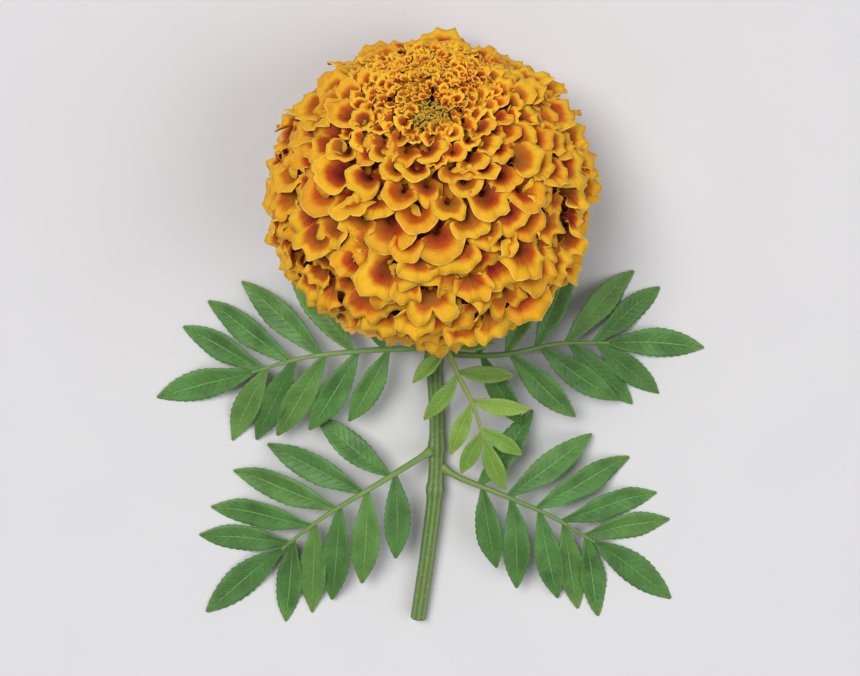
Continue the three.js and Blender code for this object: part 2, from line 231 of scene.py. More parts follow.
class Shell:
    """Gathers closed surfaces in millimetres, with named numbers at their points, into one object."""

    def __init__(self):
        self.points, self.faces, self.facts, self.count = [], [], [], 0

    def _add(self, points, quads, facts):
        """Keeps one set of points, its faces and its facts, with the faces counted on from the last set."""
        n = len(points)
        self.points.append(points)
        self.faces.append(quads + self.count)
        self.facts.append({k: np.broadcast_to(v, (n,)) for k, v in facts.items()})
        self.count += n

    def add_sheets(self, middle, thickness, **facts):
        """Thin closed sheets about the surfaces middle[n, i, j].

        Each point moves half the thickness out along the surface's normal, the cross product of its steps
        along i and j, and half back, and a rim joins the two.
        """
        n, rows, columns, _ = middle.shape
        normal = unit(np.cross(np.gradient(middle, axis=1), np.gradient(middle, axis=2)))
        half = np.broadcast_to(thickness, (n, rows, columns))[..., None] / 2
        points = np.stack([middle + normal * half, middle - normal * half], axis=1).reshape(-1, 3)
        index = np.arange(len(points)).reshape(n, 2, rows, columns)
        a, b, c, d = index[..., :-1, :-1], index[..., 1:, :-1], index[..., 1:, 1:], index[..., :-1, 1:]
        faces = [fours(a[:, 0], b[:, 0], c[:, 0], d[:, 0]), fours(a[:, 1], d[:, 1], c[:, 1], b[:, 1])]
        flat = np.arange(rows * columns).reshape(rows, columns)
        rim = np.concatenate([flat[0, :-1], flat[:-1, -1], flat[-1, :0:-1], flat[:0:-1, 0]])
        after = np.roll(rim, -1)
        front, back = index[:, 0].reshape(n, -1), index[:, 1].reshape(n, -1)
        faces.append(fours(front[:, rim], front[:, after], back[:, after], back[:, rim]))
        wide = {
            name: np.repeat(np.broadcast_to(value, (n, rows, columns))[:, None], 2, axis=1).reshape(-1)
            for name, value in facts.items()
        }
        face = np.zeros((n, 2, rows, columns))
        face[:, 0] = 1
        self._add(points, np.concatenate(faces), {**wide, "face": face.reshape(-1)})

    def add_tubes(self, rings, **facts):
        """Closed tubes through rings[n, i, j] of points, whose first and last ring each close at a pole."""
        n, rows, columns, _ = rings.shape
        poles = np.stack([rings[:, 0].mean(axis=1), rings[:, -1].mean(axis=1)], axis=1)
        points = np.concatenate([rings.reshape(n, -1, 3), poles], axis=1)
        index = np.arange(points.shape[0] * points.shape[1]).reshape(n, -1)
        body = index[:, :-2].reshape(n, rows, columns)
        after = np.roll(body, -1, axis=2)
        faces = [
            fours(body[:, :-1], after[:, :-1], after[:, 1:], body[:, 1:]),
            fours(index[:, -2:-1], after[:, 0], body[:, 0], body[:, 0]),
            fours(index[:, -1:], body[:, -1], after[:, -1], after[:, -1]),
        ]
        wide = {}
        for name, value in facts.items():
            v = np.broadcast_to(value, (n, rows, columns))
            ends = np.stack([v[:, 0].mean(axis=1), v[:, -1].mean(axis=1)], axis=1)
            wide[name] = np.concatenate([v.reshape(n, -1), ends], axis=1).reshape(-1)
        self._add(points.reshape(-1, 3), np.concatenate(faces), wide)

    def finish(self, name, look, node):
        """Makes the object: it rides on the flower, takes the slot's finish and stands for the node."""
        points = np.concatenate(self.points) * MM
        quads = np.concatenate(self.faces)
        three = quads[:, 2] == quads[:, 3]
        sizes = np.where(three, 3, 4)
        keep = np.ones(quads.shape, bool)
        keep[three, 3] = False
        mesh = bpy.data.meshes.new(name)
        mesh.vertices.add(len(points))
        mesh.vertices.foreach_set("co", points.astype(np.float32).reshape(-1))
        mesh.loops.add(int(sizes.sum()))
        mesh.loops.foreach_set("vertex_index", quads[keep].astype(np.int32))
        mesh.polygons.add(len(quads))
        starts = np.concatenate([[0], np.cumsum(sizes)[:-1]])
        mesh.polygons.foreach_set("loop_start", starts.astype(np.int32))
        mesh.polygons.foreach_set("use_smooth", np.ones(len(quads), bool))
        for fact in sorted({k for facts in self.facts for k in facts}):
            value = np.concatenate([f.get(fact, np.zeros(len(p))) for f, p in zip(self.facts, self.points)])
            mesh.attributes.new(fact, "FLOAT", "POINT").data.foreach_set("value", value.astype(np.float32))
        mesh.update(calc_edges=True)
        if mesh.validate(verbose=False):
            raise RuntimeError(f"{name} has faces that Blender had to mend")
        piece = bpy.data.objects.new(name, mesh)
        bpy.context.scene.collection.objects.link(piece)
        mesh.materials.append(look)
        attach(piece, "root")
        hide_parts(node)


# Materials


class Look:
    """A material and its node graph, with one short method for each kind of node that the looks need."""

    def __init__(self, name, **constants):
        self.material = bpy.data.materials.new(name)
        self.material.use_nodes = True
        self.tree = self.material.node_tree
        self.shader = self.tree.nodes["Principled BSDF"]
        for socket, value in constants.items():
            self.shader.inputs[socket.replace("_", " ")].default_value = value

    def node(self, kind, output, inputs, **settings):
        made = self.tree.nodes.new(kind)
        for key, value in settings.items():
            setattr(made, key, value)
        for key, value in inputs.items():
            if isinstance(value, bpy.types.NodeSocket):
                self.tree.links.new(value, made.inputs[key])
            else:
                made.inputs[key].default_value = value
        return made.outputs[output]

    def fact(self, name):
        return self.node("ShaderNodeAttribute", "Fac", {}, attribute_name=name)

    def place(self):
        return self.node("ShaderNodeTexCoord", "Object", {})

    def math(self, how, a, b=0.0):
        return self.node("ShaderNodeMath", 0, {0: a, 1: b}, operation=how)

    def times(self, a, b):
        return self.math("MULTIPLY", a, b)

    def plus(self, a, b):
        return self.math("ADD", a, b)

    def noise(self, scale, detail=3.0):
        inputs = {"Vector": self.place(), "Scale": scale, "Detail": detail}
        return self.node("ShaderNodeTexNoise", "Fac", inputs)

    def spread(self, value, low, high, to_low=0.0, to_high=1.0):
        inputs = {"Value": value, "From Min": low, "From Max": high, "To Min": to_low, "To Max": to_high}
        return self.node("ShaderNodeMapRange", "Result", inputs)

    def mix(self, share, a, b):
        a, b = (c if isinstance(c, bpy.types.NodeSocket) else (*c, 1) for c in (a, b))
        return self.node("ShaderNodeMix", 2, {0: share, 6: a, 7: b}, data_type="RGBA")

    def ramp(self, value, stops):
        made = self.tree.nodes.new("ShaderNodeValToRGB")
        elements = made.color_ramp.elements
        while len(elements) < len(stops):
            elements.new(0.5)
        for element, (at, colour) in zip(elements, stops):
            element.position = at
            element.color = (*colour, 1)
        self.tree.links.new(value, made.inputs["Fac"])
        return made.outputs["Color"]

    def bump(self, height, distance):
        inputs = {"Height": height, "Distance": distance * MM, "Strength": 1.0}
        self.tree.links.new(self.node("ShaderNodeBump", "Normal", inputs), self.shader.inputs["Normal"])

    def drive(self, socket, value):
        self.tree.links.new(value, self.shader.inputs[socket])


def shade(colour, by):
    """A colour made darker or lighter by a factor."""
    return tuple(min(1.0, c * by) for c in colour)


def petal_look(name, colours, flush_and_shade=0.0, light=1.0):
    """Petal flesh: red-brown in the throat, darker still at its foot, with a red-orange flush round it and
    on the side towards the crown; these are partly the petal's own colour and partly painted shade, deep in
    the funnel and where the next lip hangs over. Golden on the lip with a thin pale edge, partly a painted
    highlight; faint lengthwise veins sin(42 across), rustier on the back, and a slightly different tone for
    each petal. flush_and_shade is how much of the flush the lip and edge take on: the outer back rays' own
    colour, and painted shade on the deep inner rays. light lightens every colour, as painted light on the
    crowded crown rays.
    """
    look = Look(
        name,
        Roughness=0.6,
        Subsurface_Weight=0.25,
        Subsurface_Scale=1.0 * MM,
        Subsurface_Radius=(1.0, 0.35, 0.05),
        Specular_IOR_Level=0.1,
    )
    named = colours.throat, colours.flush, colours.lip, colours.rim
    throat, flush, lip, rim = (shade(colour, light) for colour in named)
    lip, rim = (tuple(flush_and_shade * f + (1 - flush_and_shade) * c for f, c in zip(flush, part)) for part in (lip, rim))
    along, across, tone = look.fact("along"), look.fact("across"), look.fact("tone")
    uneven = look.plus(along, look.spread(look.noise(150.0), 0.3, 0.7, -0.05, 0.05))
    # Painted shade: the crown side of each mouth, which the next lip hangs over, is pulled towards the
    # throat's red-brown.
    uneven = look.math("SUBTRACT", uneven, look.times(look.fact("crownward"), 0.25))
    # Painted shade: the throat darkens into the funnel, to 0.6 of its colour at the foot.
    base = look.ramp(uneven, [(0.0, shade(throat, 0.6)), (0.52, throat), (0.67, flush), (0.8, lip)])
    veins = look.math("SINE", look.plus(look.times(across, 42.0), look.noise(260.0)))
    base = look.mix(look.spread(veins, 0.2, 1.0, 0.0, 0.05), base, flush)
    base = look.mix(look.spread(tone, 0.3, 1.0, 0.0, 0.32), base, shade(flush, 1.5))
    base = look.mix(look.spread(look.noise(90.0), 0.4, 0.7, 0.0, 0.4), base, shade(lip, 0.8))
    # Partly a painted highlight: the pale edge stands in for light catching the petal's thin edge.
    base = look.mix(look.spread(along, 0.965, 0.99, 0.0, 0.8), base, rim)
    back = tuple(0.4 * dark + 0.5 * pale for dark, pale in zip(flush, lip))
    base = look.mix(look.fact("face"), look.mix(0.6, base, back), base)
    look.drive("Base Color", base)
    look.drive("Roughness", look.spread(look.noise(420.0), 0.3, 0.7, 0.5, 0.72))
    crinkle = look.times(look.noise(520.0, 4.0), 0.8)
    look.bump(look.plus(look.times(veins, 0.08), crinkle), 0.35)
    return look.material


def core_shade_look(colours):
    """The hidden bases of the petals between the rays: deep red-brown, in uneven patches, painted shade that
    shows in the gaps between the rays.
    """
    look = Look("petal_bases_shaded", Roughness=0.8, Specular_IOR_Level=0.2)
    throat, flush = shade(colours.throat, 0.9), shade(colours.flush, 0.7)
    look.drive("Base Color", look.mix(look.noise(160.0), throat, flush))
    look.bump(look.noise(300.0), 0.5)
    return look.material


def bud_look(colours):
    """Unopened buds: olive-brown at the foot, yellow-green to orange at the tip."""
    look = Look("bud_skin", Roughness=0.55, Specular_IOR_Level=0.3)
    foot, middle, tip = (0.04, 0.016, 0.006), (0.1, 0.055, 0.01), (0.62, 0.4, 0.04)
    base = look.ramp(look.fact("along"), [(0.0, foot), (0.6, middle), (0.88, colours.bud), (1.0, tip)])
    base = look.mix(look.spread(look.fact("tone"), 0.5, 1.0, 0.0, 0.7), base, colours.lip)
    look.drive("Base Color", base)
    look.bump(look.noise(700.0), 0.25)
    return look.material


def green_look(name, light, dark, rib_tint, rib_count):
    """Stem and cup skin: light green with darker grooves between ribs, a warm tint on the ribs, small pale
    pores, and pale pith wherever the piece is cut.
    """
    look = Look(
        name,
        Roughness=0.42,
        Subsurface_Weight=0.06,
        Subsurface_Scale=1.0 * MM,
        Specular_IOR_Level=0.4,
    )
    around = look.fact("around")
    ribs = look.math("COSINE", look.times(around, 2 * math.pi * rib_count))
    base = look.mix(look.spread(ribs, -1.0, 1.0), dark, light)
    tinted = look.times(look.spread(ribs, 0.4, 1.0), look.spread(look.noise(45.0), 0.45, 0.7, 0.0, 0.5))
    base = look.mix(tinted, base, rib_tint)
    base = look.mix(look.spread(look.noise(900.0, 1.0), 0.62, 0.72, 0.0, 0.35), base, shade(light, 1.6))
    base = look.mix(look.fact("pith"), base, (0.55, 0.62, 0.32))
    look.drive("Base Color", base)
    height = look.plus(look.times(ribs, 0.25), look.noise(600.0))
    look.bump(height, 0.3)
    return look.material


def leaf_look(name, light, dark, back, tip):
    """Leaf skin: deep green with a paler rib in a band of painted shade along the fold's crease, side veins
    that run forward to the teeth, sunk into a slightly quilted face, a yellower tip, a paler dull back, and
    scattered small oil glands.
    """
    look = Look(name, Subsurface_Weight=0.08, Subsurface_Scale=0.8 * MM, Specular_IOR_Level=0.35)
    along, across, face = look.fact("along"), look.fact("across"), look.fact("face")
    off_middle = look.math("ABSOLUTE", across)
    teeth = look.times(along, float(LEAF_TEETH))
    slant = look.math("SUBTRACT", teeth, look.times(off_middle, 1.6))
    wave = look.math("COSINE", look.times(slant, 2 * math.pi))
    vein = look.times(look.spread(wave, 0.75, 1.0), look.spread(off_middle, 0.02, 0.9, 1.0, 0.15))
    rib = look.spread(off_middle, 0.02, 0.07, 1.0, 0.0)
    crease_shade = look.spread(off_middle, 0.05, 0.26, 1.0, 0.0)
    mottled = look.mix(look.spread(look.noise(130.0), 0.33, 0.66), shade(dark, 1.05), shade(light, 1.02))
    mottled = look.mix(look.spread(off_middle, 0.6, 1.0, 0.0, 0.4), mottled, shade(light, 1.25))
    mottled = look.mix(look.spread(along, 0.8, 1.0, 0.0, 0.5), mottled, tip)
    top = look.mix(look.times(vein, 0.22), mottled, shade(dark, 0.7))
    # Painted shade in the fold's crease on each side of the rib.
    top = look.mix(look.times(crease_shade, 0.16), top, shade(dark, 0.8))
    top = look.mix(look.times(rib, 0.8), top, shade(light, 1.9))
    under = look.mix(look.math("MAXIMUM", vein, rib), back, shade(back, 1.35))
    base = look.mix(face, under, top)
    stalk = look.mix(look.spread(look.noise(60.0), 0.35, 0.65), (0.13, 0.235, 0.075), (0.2, 0.27, 0.09))
    base = look.mix(look.fact("stalk"), base, stalk)
    glands = look.spread(look.noise(2300.0, 0.0), 0.7, 0.76, 0.0, 0.35)
    base = look.mix(look.times(glands, face), base, shade(light, 1.8))
    base = look.mix(look.spread(look.fact("tone"), 0.4, 1.0, 0.0, 0.5), base, shade(light, 0.66))
    base = look.mix(look.spread(look.fact("tone"), 0.0, 0.4, 0.35, 0.0), base, tip)
    look.drive("Base Color", base)
    look.drive("Roughness", look.spread(look.noise(300.0), 0.3, 0.7, 0.42, 0.6))
    quilt = look.plus(look.times(vein, -0.35), look.times(rib, -0.3))
    look.bump(look.plus(quilt, look.times(look.noise(420.0), 0.55)), 0.38)
    return look.material


# Bloom

# How a ring of rays is shaped. rows and columns are its grid; spread is the half angle that a ray's funnel
# closes round, in radians; sides is how far its mouth reaches to the sides, as a share of its reach away
# from the crown; lip, tube, lift, tuck, over, ruffle, frill, curl and deep are shares of the ray's size,
# where lift is the funnel's depth, tuck and over lower the crown side and raise the far side, and deep is
# how far below the outline the mouth stands; rough is how uneven the lip's outline is; round is the share
# of rays with round mouths; lean is how far a ray turns to either side, in radians; tilt is the slope of
# its mouth.
RAY_FIELDS = "rows columns spread lip sides tube lift tuck over ruffle frill rough round lean tilt curl deep"
RayStyle = namedtuple("RayStyle", RAY_FIELDS, defaults=(0.0, 0.0))
CROWN_STYLE = RayStyle(
    rows=8, columns=17, spread=(1.6, 3.0), lip=(0.7, 1.0), sides=0.7, tube=0.18, lift=0.7, tuck=0.1,
    over=0.05, ruffle=0.28, frill=0.16, rough=1.3, round=0.2, lean=0.9, tilt=0.45,
)
SHOULDER_STYLE = RayStyle(
    rows=9, columns=27, spread=(1.5, 2.6), lip=(0.88, 1.15), sides=0.62, tube=0.24, lift=0.52, tuck=0.2,
    over=0.18, ruffle=0.18, frill=0.1, rough=1.3, round=0.3, lean=0.7, tilt=0.3, curl=-0.03,
)
FLANK_STYLE = RayStyle(
    rows=9, columns=27, spread=(1.25, 2.15), lip=(0.92, 1.17), sides=0.62, tube=0.2, lift=0.48, tuck=0.26,
    over=0.22, ruffle=0.23, frill=0.13, rough=1.9, round=0.12, lean=0.6, tilt=0.32, curl=-0.02,
)
LOWER_STYLE = RayStyle(
    rows=9, columns=25, spread=(1.15, 1.9), lip=(0.97, 1.21), sides=0.6, tube=0.18, lift=0.45, tuck=0.28,
    over=0.22, ruffle=0.23, frill=0.14, rough=2.2, round=0.05, lean=0.55, tilt=0.32, curl=-0.04,
)
INNER_STYLE = RayStyle(
    rows=7, columns=15, spread=(1.4, 2.4), lip=(0.8, 1.0), sides=0.7, tube=0.24, lift=0.5, tuck=0.14,
    over=0.04, ruffle=0.12, frill=0.08, rough=1.0, round=0.2, lean=0.7, tilt=0.12, deep=0.48,
)
EYE_STYLE = RayStyle(
    rows=6, columns=11, spread=(1.5, 2.7), lip=(0.55, 0.8), sides=0.8, tube=0.2, lift=0.8, tuck=0.0,
    over=0.0, ruffle=0.3, frill=0.14, rough=1.0, round=0.2, lean=3.1, tilt=0.5, curl=0.2, deep=0.78,
)
TUBE_LENGTH = 8.0
CROWN_SHIFT = 0.26  # how far the spiral's middle is tipped off the eye, in radians
SMALL_RAY = 4.4  # rays under this size are the crown's
SHOULDER_END, FLANK_END = 1.1, 1.75  # angles from the bloom's axis
# Round another ray's throat, as shares of that ray's size: how far it reaches, and how far lips rise over
# or dip under it; and how many neighbours a ray looks at
THROAT, RISE_OVER, DIP_UNDER = 0.62, 0.12, 0.5
NEIGHBOURS = 9
INNER_CLEAR = 0.25  # how near to an outer ray's axis an inner one may stand, as a share of its size
# The two rings of outermost rays: how many, how far out and how high their roots are, and how long they are
UNDER_RINGS = ((21, 9.0, -15.4, 22.0), (23, 10.0, -13.6, 26.0))


def on_bloom(angle, turn):
    """The place, outward, sideways and downward directions on the bloom's outline, an ellipse about z.

    The place is (radius * sin(angle), rise * cos(angle) - dip), where rise is BLOOM_DROP below the widest
    ring, and dip is CROWN_DIP * e^-(across / CROWN_DIP_RADIUS)^2; outward is the ellipse's normal.
    """
    rise = np.where(angle < np.pi / 2, BLOOM_RISE, BLOOM_DROP)
    across = BLOOM_RADIUS * np.sin(angle)
    dip = CROWN_DIP * np.exp(-((across / CROWN_DIP_RADIUS) ** 2))
    radial, side = spokes(turn)
    point = radial * across[..., None] + UP * (rise * np.cos(angle) - dip)[..., None]
    out = unit(radial * (np.sin(angle) / BLOOM_RADIUS)[..., None] + UP * (np.cos(angle) / rise)[..., None])
    return point, out, side, np.cross(side, out)


def ray_places(eye, last, smallest, widest, seed=0):
    """Angles, turns, sizes and numbers of the rays on a golden-angle spiral from the eye down.

    Each takes up its own size squared of the outline's surface, so the angle grows by
    size^2 / (circumference * slope) from ray to ray. Sizes grow from smallest to widest as 3 g^2 - 2 g^3,
    where g goes from 0 to 1 between the angles 0.12 and 0.95. Places and sizes vary a little. The spiral's
    middle is tipped off the eye by CROWN_SHIFT * e^-(angle / 1.2)^2, as small rays cover more of the crown
    on its far side. Rays that would stand in the eye are left out.
    """
    angles, sizes = [], []
    angle = 0.03
    while angle < last:
        grown = min(1.0, max(0.0, (angle - 0.12) / 0.83))
        size = smallest + (widest - smallest) * grown * grown * (3 - 2 * grown)
        angles.append(angle)
        sizes.append(size)
        slope = math.hypot(BLOOM_RADIUS * math.cos(angle), BLOOM_RISE * math.sin(angle))
        angle += size * size / (2 * math.pi * BLOOM_RADIUS * math.sin(angle) * slope)
    angle, number = np.array(angles), seed + np.arange(len(angles))
    turn = number * GOLDEN_ANGLE
    sizes = np.array(sizes)
    slack = 0.4 * sizes / BLOOM_RADIUS
    angle = angle + slack * (draw(number, 31) - 0.5)
    turn = turn + slack * (draw(number, 32) - 0.5) / np.sin(np.maximum(angle, 0.05))
    sizes = sizes * (0.84 + 0.38 * draw(number, 33))
    tip = CROWN_SHIFT * np.exp(-((angle / 1.2) ** 2))
    x, y, z = np.sin(angle) * np.cos(turn), np.sin(angle) * np.sin(turn), np.cos(angle)
    y, z = y * np.cos(tip) + z * np.sin(tip), z * np.cos(tip) - y * np.sin(tip)
    shifted = np.arccos(np.clip(z, -1, 1)), np.arctan2(y, x), sizes, number
    return tuple(v[shifted[0] > eye] for v in shifted)


def ray_surfaces(places, style):
    """Middle surfaces of rays: trumpets open towards the crown, whose lips flare out and hang away from it.

    A ray's share u runs along it and w runs from side to side, at the angle theta = w * spread round its
    axis, and its flare is (u - 0.2) / 0.8. Its radius grows from its narrow tube to its rim as
    1 - cos(flare * quarter turn), while its height rises as sin of the same. The rim is widest at theta 0,
    away from the crown, and is 1 plus lobes of cos(3, 5.3 and 7.7 theta), less a notch e^-(theta / 0.18)^2
    and corners of |w|^5. The lip waves up and down in ruffles of cos(k theta), with creases
    |sin(k theta / 2)| and finer frills 1 - 2 |sin(k theta / 2)|, all of them more towards its edge, and
    slopes with the radius. Also returns u, w and how far each point lies on the crown side,
    (1 - cos(theta)) / 2 up to a half.
    """
    angle, turn, size, number = places
    point, out, side, down = (v[:, None, None] for v in on_bloom(angle, turn))
    size = size[:, None, None]
    u = np.linspace(0, 1, style.rows)[None, :, None] ** 0.9
    w = np.linspace(-1, 1, style.columns)[None, None, :]

    def pick(purpose, low, high):
        return (low + (high - low) * draw(number, purpose))[:, None, None]

    round_one = np.clip((style.round - pick(18, 0.0, 1.0)) * 5, 0, 1)
    spread = pick(1, *style.spread)
    theta = w * (spread + (3.12 - spread) * round_one)
    lean = pick(2, -style.lean, style.lean)[..., None]
    hang, across = rotated(down, out, lean), rotated(side, out, lean)
    back = 0.5 + 0.5 * np.cos(theta)
    flare = np.clip((u - 0.2) / 0.8, 0, 1)
    arc = flare * np.pi / 2
    rough = style.rough * pick(22, 0.3, 1.5) * (1 - 0.6 * round_one)
    notch = rough * pick(4, 0.0, 0.2) * np.exp(-((theta / 0.18) ** 2))
    lobes = 1 - notch * flare - 0.3 * np.abs(w) ** 5 * (1 - round_one)
    for k, depth, purpose in ((3.0, 0.06, 5), (5.3, 0.05, 6), (7.7, 0.035, 19)):
        lobes = lobes + rough * flare**2 * depth * np.cos(k * theta + pick(purpose, 0, 6.3))
    sides = style.sides + (0.8 - style.sides) * round_one
    rim = size * pick(3, *style.lip) * (sides + (1 - sides) * back**0.8) * lobes
    tube = size * style.tube * (0.6 + 0.4 * u) * pick(23, 0.7, 1.2)
    radius = tube + (rim - tube) * (1 - np.cos(arc))
    lift = size * style.lift * pick(7, 0.75, 1.25)
    deep = size * style.deep
    sunk = deep + np.maximum(TUBE_LENGTH - lift - deep, 1.0) * np.clip(1 - u / 0.2, 0, 1)
    edge = flare**1.6 * size
    height = -sunk - lift * (1 - np.sin(arc))
    over, tuck = style.over * pick(21, -0.8, 2.6) * back, style.tuck * (1 - back) * (1 - round_one)
    height = height + edge * (over - tuck)
    folds = pick(9, 2.4, 4.2) * theta + pick(10, 0, 6.3)
    ruffles = 0.6 * np.cos(folds) + 0.8 * np.abs(np.sin(folds / 2)) - 0.4
    height += edge * pick(8, 0.5, 1.5) * style.ruffle * ruffles
    pleats = pick(11, 6.5, 9.5) * theta + pick(12, 0, 6.3)
    height += edge * flare * style.frill * (1 - 2 * np.abs(np.sin(pleats / 2)))
    height += size * flare**5 * (style.curl + pick(13, -0.08, 0.08))
    height += radius * (pick(16, -1, 1) * np.cos(theta) + pick(17, -1, 1) * np.sin(theta)) * style.tilt
    height += pick(14, -0.1, 0.1) * size - radius**2 / (2 * BLOOM_RADIUS)
    swirl = theta + pick(15, -0.25, 0.25) * flare
    away, aside = (radius * np.cos(swirl))[..., None], (radius * np.sin(swirl))[..., None]
    middle = point + out * height[..., None] + hang * away + across * aside
    return middle, u, w, np.minimum(1 - back, 0.5) * (1 - round_one)


def distances(places, others):
    """How far each ray's axis stands from each of the others', where they meet the outline."""
    return np.linalg.norm(on_bloom(*places[:2])[0][:, None] - on_bloom(*others[:2])[0][None], axis=-1)


def tucked(middle, u, places, others, below):
    """The rays' surfaces, with what reaches over another ray's throat bent clear of its face.

    At a distance from the other ray's axis, a point moves by that ray's size times
    1 - (distance / reach)^2, where the reach is THROAT of its size: outwards by RISE_OVER where its own ray
    stands on the crown side, whose lip hangs over that throat, and inwards by DIP_UNDER from its side or
    its foot. below is for rays that lie under all others. Rays under 2 mm or past an angle of 2.1 stay as
    crumpled as they are, and those up to 5 mm or from 1.8 on are bent less.
    """
    own, out = on_bloom(*places[:2])[:2]
    axis, normal, _, down = on_bloom(*others[:2])
    apart = distances(places, others)
    apart[places[3][:, None] == others[3][None]] = np.inf
    shift = np.zeros(middle.shape[:3])
    firm = (np.clip((places[2] - 2.0) / 3.0, 0, 1) * np.clip((2.1 - places[0]) / 0.3, 0, 1))[:, None, None]
    for other in np.argsort(apart, axis=1)[:, :NEIGHBOURS].T:
        gap = unit(own - axis[other] + 1e-6)
        beside = 1.0 if below else np.clip(1 + 1.6 * (gap * down[other]).sum(axis=-1), 0, 1)[:, None, None]
        away = middle - axis[other][:, None, None]
        facing = normal[other][:, None, None]
        away = away - (away * facing).sum(axis=-1, keepdims=True) * facing
        size = others[2][other][:, None, None]
        near = np.clip(1 - (np.linalg.norm(away, axis=-1) / (THROAT * size)) ** 2, 0, 1)
        shift += size * near * (RISE_OVER * (1 - beside) - DIP_UNDER * beside)
    return middle + out[:, None, None] * (shift * firm * u)[..., None]


def some(places, keep):
    """The places, sizes and numbers of the rays that keep marks."""
    return tuple(v[keep] for v in places)


def make_rays(sizes, colours):
    """The rays in four rings, from the frilled crown to the broad lower ones, as one piece for each ring,
    and more rays deeper down that show between them and leave their throats clear.

    A petal thins to its edge as u^3.
    """
    places = ray_places(eye=0.11, last=2.5, smallest=sizes.smallest / MM, widest=sizes.widest / MM)
    angle, size = places[0], places[2]
    inner = ray_places(
        eye=0.13, last=2.1, smallest=1.3 * sizes.smallest / MM, widest=sizes.widest / MM, seed=3001
    )
    inner = some(inner, (distances(inner, places) / size).min(axis=1) > INNER_CLEAR)
    flesh = petal_look("petal_flesh", colours)
    # Painted light: the crowded crown rays are lightened by 1.2 to offset the shade between them.
    bright = petal_look("petal_crown_lit", colours, light=1.2)
    # Painted shade: the deep inner rays take half the flush on their lips and edges.
    shaded_depths_flesh = petal_look("petal_depths_shaded", colours, flush_and_shade=0.5)
    small, shoulder, flank = size < SMALL_RAY, angle < SHOULDER_END, angle < FLANK_END
    rings = (
        ("bloom_crown_rays", some(places, small), CROWN_STYLE, bright),
        ("bloom_shoulder_rays", some(places, ~small & shoulder), SHOULDER_STYLE, flesh),
        ("bloom_flank_rays", some(places, ~small & ~shoulder & flank), FLANK_STYLE, flesh),
        ("bloom_lower_rays", some(places, ~flank), LOWER_STYLE, flesh),
        ("bloom_inner_rays", inner, INNER_STYLE, shaded_depths_flesh),
    )
    for name, rays, style, look in rings:
        middle, u, w, crownward = ray_surfaces(rays, style)
        middle = on_table(from_head(tucked(middle, u, rays, places, below=rays is inner)))
        thickness = sizes.thickness / MM * (1 - 0.45 * u**3)
        tone = draw(rays[3], 20)[:, None, None]
        shell = Shell()
        shell.add_sheets(middle, thickness, along=u, across=w, tone=tone, crownward=crownward)
        shell.finish(name, look, "bloom")


def make_under_rays(sizes, colours):
    """The outermost rays, seen from below: two rings of straps from the cup's rim out along the underside.

    A strap's half width is 1.8 + 3.6 * sin(quarter turn * u), and its end is drawn in as 0.3 |w|^2.5 with a
    notch e^-(w / 0.2)^2. It falls away from the face as 7.5 u + 1 to 4 u^2, with its sides lifted by
    1.8 w^2 u, and its edge ripples as cos(4.5 w) and cos(11 w).
    """
    shell = Shell()
    u = np.linspace(0, 1, 14)[None, :, None]
    w = np.linspace(-1, 1, 13)[None, None, :]
    for ring, (count, root, height, length) in enumerate(UNDER_RINGS):
        number = np.arange(count) + 100 * ring
        turn = (2 * np.pi * (np.arange(count) + 0.6 * draw(number, 6) + 0.5 * ring) / count)[:, None, None]
        radial, side = spokes(turn)
        reach = (length + 6 * draw(number, 7) - 3)[:, None, None]
        half = 1.8 + 3.6 * np.sin(np.pi / 2 * u) * (0.8 + 0.4 * draw(number, 5)[:, None, None])
        end = 1 - 0.3 * np.abs(w) ** 2.5 - 0.1 * np.exp(-((w / 0.2) ** 2)) + 0.05 * np.cos(9 * w)
        phase = 6.3 * draw(number, 8)[:, None, None]
        ripple = (0.9 * np.cos(4.5 * w + phase) + 0.35 * np.cos(11 * w + 2 * phase)) * u**2
        z = height - 7.5 * u - (1 + 3 * draw(number, 4)[:, None, None]) * u**2 + 1.8 * w**2 * u + ripple
        middle = radial * (root + reach * u * (1 + (end - 1) * u))[..., None] + side * (w * half)[..., None]
        middle = middle + UP * z[..., None]
        middle = on_table(from_head(middle))
        tone = draw(number, 9)[:, None, None]
        shell.add_sheets(middle, sizes.thickness / MM, along=0.55 + 0.45 * u, across=w, tone=tone)
    shell.finish("bloom_under_rays", petal_look("petal_backs", colours, flush_and_shade=0.15), "bloom")


def make_core(colours):
    """The crowded bases of the petals, a dark sheet whose colour is painted shade in the gaps between the
    rays:
    the bloom's outline drawn in to 0.86 of its size, and further at the eye and round the cup, rippled as
    sin(13 turn) * sin(22 angle).
    """
    shell = Shell()
    angle = np.linspace(2.6, 0.12, 60)
    turn = np.linspace(0, 2 * np.pi, 96, endpoint=False)
    point, out, _, _ = on_bloom(*np.meshgrid(angle, turn, indexing="ij"))
    ripple = 0.5 * np.sin(13 * turn)[None, :] * np.sin(22 * angle)[:, None]
    drawn = 0.18 * np.exp(-((angle / 0.25) ** 2)) + 0.28 * np.clip((angle - 1.95) / 0.45, 0, 1)
    share = 0.86 - drawn[:, None, None]
    shell.add_tubes((from_head(share * point + out * ripple[..., None]))[None])
    shell.finish("bloom_core", core_shade_look(colours), "bloom")


